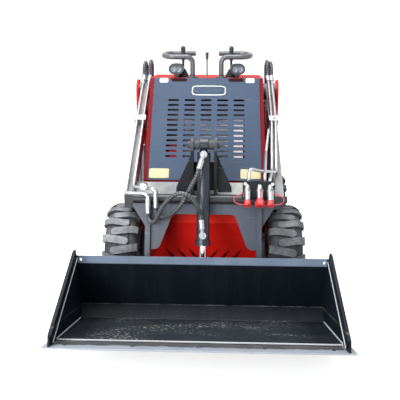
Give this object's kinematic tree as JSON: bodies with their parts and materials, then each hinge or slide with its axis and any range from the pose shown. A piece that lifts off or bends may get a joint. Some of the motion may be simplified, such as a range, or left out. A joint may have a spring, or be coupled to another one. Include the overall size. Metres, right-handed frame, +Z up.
{
  "type": "stand-on wheeled mini loader",
  "caption": "Compact stand-on wheeled loader with lift arms, a central tilt cylinder and a wide bucket.",
  "frame": {"origin": "on the ground, at the middle of the whole machine's length and width", "axes": "+Z up, the bucket points to -Y, +X to the right when seen from the front"},
  "size_m": [1.212, 2.1752, 1.308],
  "materials": {
    "body_red": "gloss red enamel",
    "panel_slate": "satin slate powder coat",
    "arm_slate": "satin slate powder coat",
    "mast_black": "satin black paint",
    "bucket_black": "satin black paint, scuffed",
    "edge_steel": "worn black paint on steel",
    "engine_grey": "plain castings",
    "platform_black": "textured black",
    "handle_black": "gloss black powder coat",
    "lamp_black": "matt",
    "lamp_lens": "clear moulded lens",
    "control_black": "moulded grip",
    "lever_steel": "bright steel with a black knob",
    "hub_iron": "painted casting",
    "pipe_zinc": "zinc plated steel",
    "cap_red": "soft red plastic",
    "barrel_black": "gloss black",
    "rod_chrome": "hard chrome",
    "tyre_rubber": "dusty tread",
    "rim_grey": "dark grey paint",
    "hose_rubber": "spiral-wrapped hydraulic hose"
  },
  "bodies": {
    "chassis": {"chassis_frame": "body_red", "lift_brackets": "body_red", "hood": "body_red", "hood_panel": "panel_slate", "engine_block": "engine_grey", "rear_door": "panel_slate", "arm_towers": "body_red", "platform": "platform_black", "grab_handles": "handle_black", "lamp_housings": "lamp_black", "lamp_lenses": "lamp_lens", "joysticks": "control_black", "throttle_lever": "lever_steel", "wheel_motors": "hub_iron", "pivot_hose_left_outer": "hose_rubber", "pivot_hose_left_inner": "hose_rubber", "pivot_hose_right_outer": "hose_rubber", "pivot_hose_right_inner": "hose_rubber"},
    "arm": {"arm_left": "arm_slate", "arm_right": "arm_slate", "cross_frame": "arm_slate", "tilt_mast": "mast_black", "pipes_left": "pipe_zinc", "pipes_right": "pipe_zinc", "pipe_clamps": "pipe_zinc", "pipe_ends_left": "pipe_zinc", "pipe_ends_right": "pipe_zinc", "coupler_bracket": "mast_black", "couplers": "pipe_zinc", "dust_caps": "cap_red", "tilt_hose_upper": "hose_rubber", "tilt_hose_lower": "hose_rubber"},
    "bucket": {"attach_plate": "mast_black", "bucket_shell": "bucket_black", "cutting_edge": "edge_steel"},
    "tilt_barrel": {"tilt_barrel": "barrel_black"},
    "tilt_rod": {"tilt_rod": "rod_chrome"},
    "lift_barrel_left": {"lift_barrel_left": "barrel_black"},
    "lift_rod_left": {"lift_rod_left": "rod_chrome"},
    "lift_barrel_right": {"lift_barrel_right": "barrel_black"},
    "lift_rod_right": {"lift_rod_right": "rod_chrome"},
    "wheel_front_left": {"tyre_front_left": "tyre_rubber", "rim_front_left": "rim_grey"},
    "wheel_front_right": {"tyre_front_right": "tyre_rubber", "rim_front_right": "rim_grey"},
    "wheel_rear_left": {"tyre_rear_left": "tyre_rubber", "rim_rear_left": "rim_grey"},
    "wheel_rear_right": {"tyre_rear_right": "tyre_rubber", "rim_rear_right": "rim_grey"}
  },
  "joints": [
    {"name": "lift", "type": "hinge", "parent": "chassis", "child": "arm", "pos_m": [0, 0.46016, 1.04], "axis": [-1, 0, 0], "range_deg": [0, 82], "deforming": ["pivot_hose_left_outer", "pivot_hose_left_inner", "pivot_hose_right_outer", "pivot_hose_right_inner"]},
    {"name": "tilt", "type": "hinge", "parent": "arm", "child": "bucket", "pos_m": [0, -0.49484, 0.115], "axis": [1, 0, 0], "range_deg": [0, 135]},
    {"name": "tilt_barrel_swing", "type": "hinge", "parent": "arm", "child": "tilt_barrel", "pos_m": [0, -0.29984, 0.855], "axis": [1, 0, 0], "range_deg": [-2.71, 0], "deforming": ["tilt_hose_upper", "tilt_hose_lower"]},
    {"name": "tilt_rod_slide", "type": "slide", "parent": "tilt_barrel", "child": "tilt_rod", "axis": [0, -0.3065, -0.9519], "range_m": [0, 0.30365]},
    {"name": "lift_barrel_left_swing", "type": "hinge", "parent": "chassis", "child": "lift_barrel_left", "pos_m": [-0.375, 0.19016, 0.32], "axis": [1, 0, 0], "range_deg": [0, 12.43]},
    {"name": "lift_rod_left_slide", "type": "slide", "parent": "lift_barrel_left", "child": "lift_rod_left", "axis": [0, 0.2731, 0.962], "range_m": [0, 0.28148]},
    {"name": "lift_barrel_right_swing", "type": "hinge", "parent": "chassis", "child": "lift_barrel_right", "pos_m": [0.375, 0.19016, 0.32], "axis": [1, 0, 0], "range_deg": [0, 12.43]},
    {"name": "lift_rod_right_slide", "type": "slide", "parent": "lift_barrel_right", "child": "lift_rod_right", "axis": [0, 0.2731, 0.962], "range_m": [0, 0.28148]},
    {"name": "wheel_front_left_spin", "type": "hinge", "parent": "chassis", "child": "wheel_front_left", "pos_m": [-0.417, -0.19284, 0.254], "axis": [-1, 0, 0], "continuous": true},
    {"name": "wheel_front_right_spin", "type": "hinge", "parent": "chassis", "child": "wheel_front_right", "pos_m": [0.417, -0.19284, 0.254], "axis": [-1, 0, 0], "continuous": true},
    {"name": "wheel_rear_left_spin", "type": "hinge", "parent": "chassis", "child": "wheel_rear_left", "pos_m": [-0.417, 0.52216, 0.254], "axis": [-1, 0, 0], "continuous": true},
    {"name": "wheel_rear_right_spin", "type": "hinge", "parent": "chassis", "child": "wheel_rear_right", "pos_m": [0.417, 0.52216, 0.254], "axis": [-1, 0, 0], "continuous": true}
  ],
  "couplings": [
    {"joint": "tilt_barrel_swing", "follows": "tilt", "ratio": -0.020071},
    {"joint": "tilt_rod_slide", "follows": "tilt", "m_per_rad": 0.12887},
    {"joint": "lift_barrel_left_swing", "follows": "lift", "ratio": 0.15162},
    {"joint": "lift_rod_left_slide", "follows": "lift", "m_per_rad": 0.19668},
    {"joint": "lift_barrel_right_swing", "follows": "lift", "ratio": 0.15162},
    {"joint": "lift_rod_right_slide", "follows": "lift", "m_per_rad": 0.19668}
  ]
}
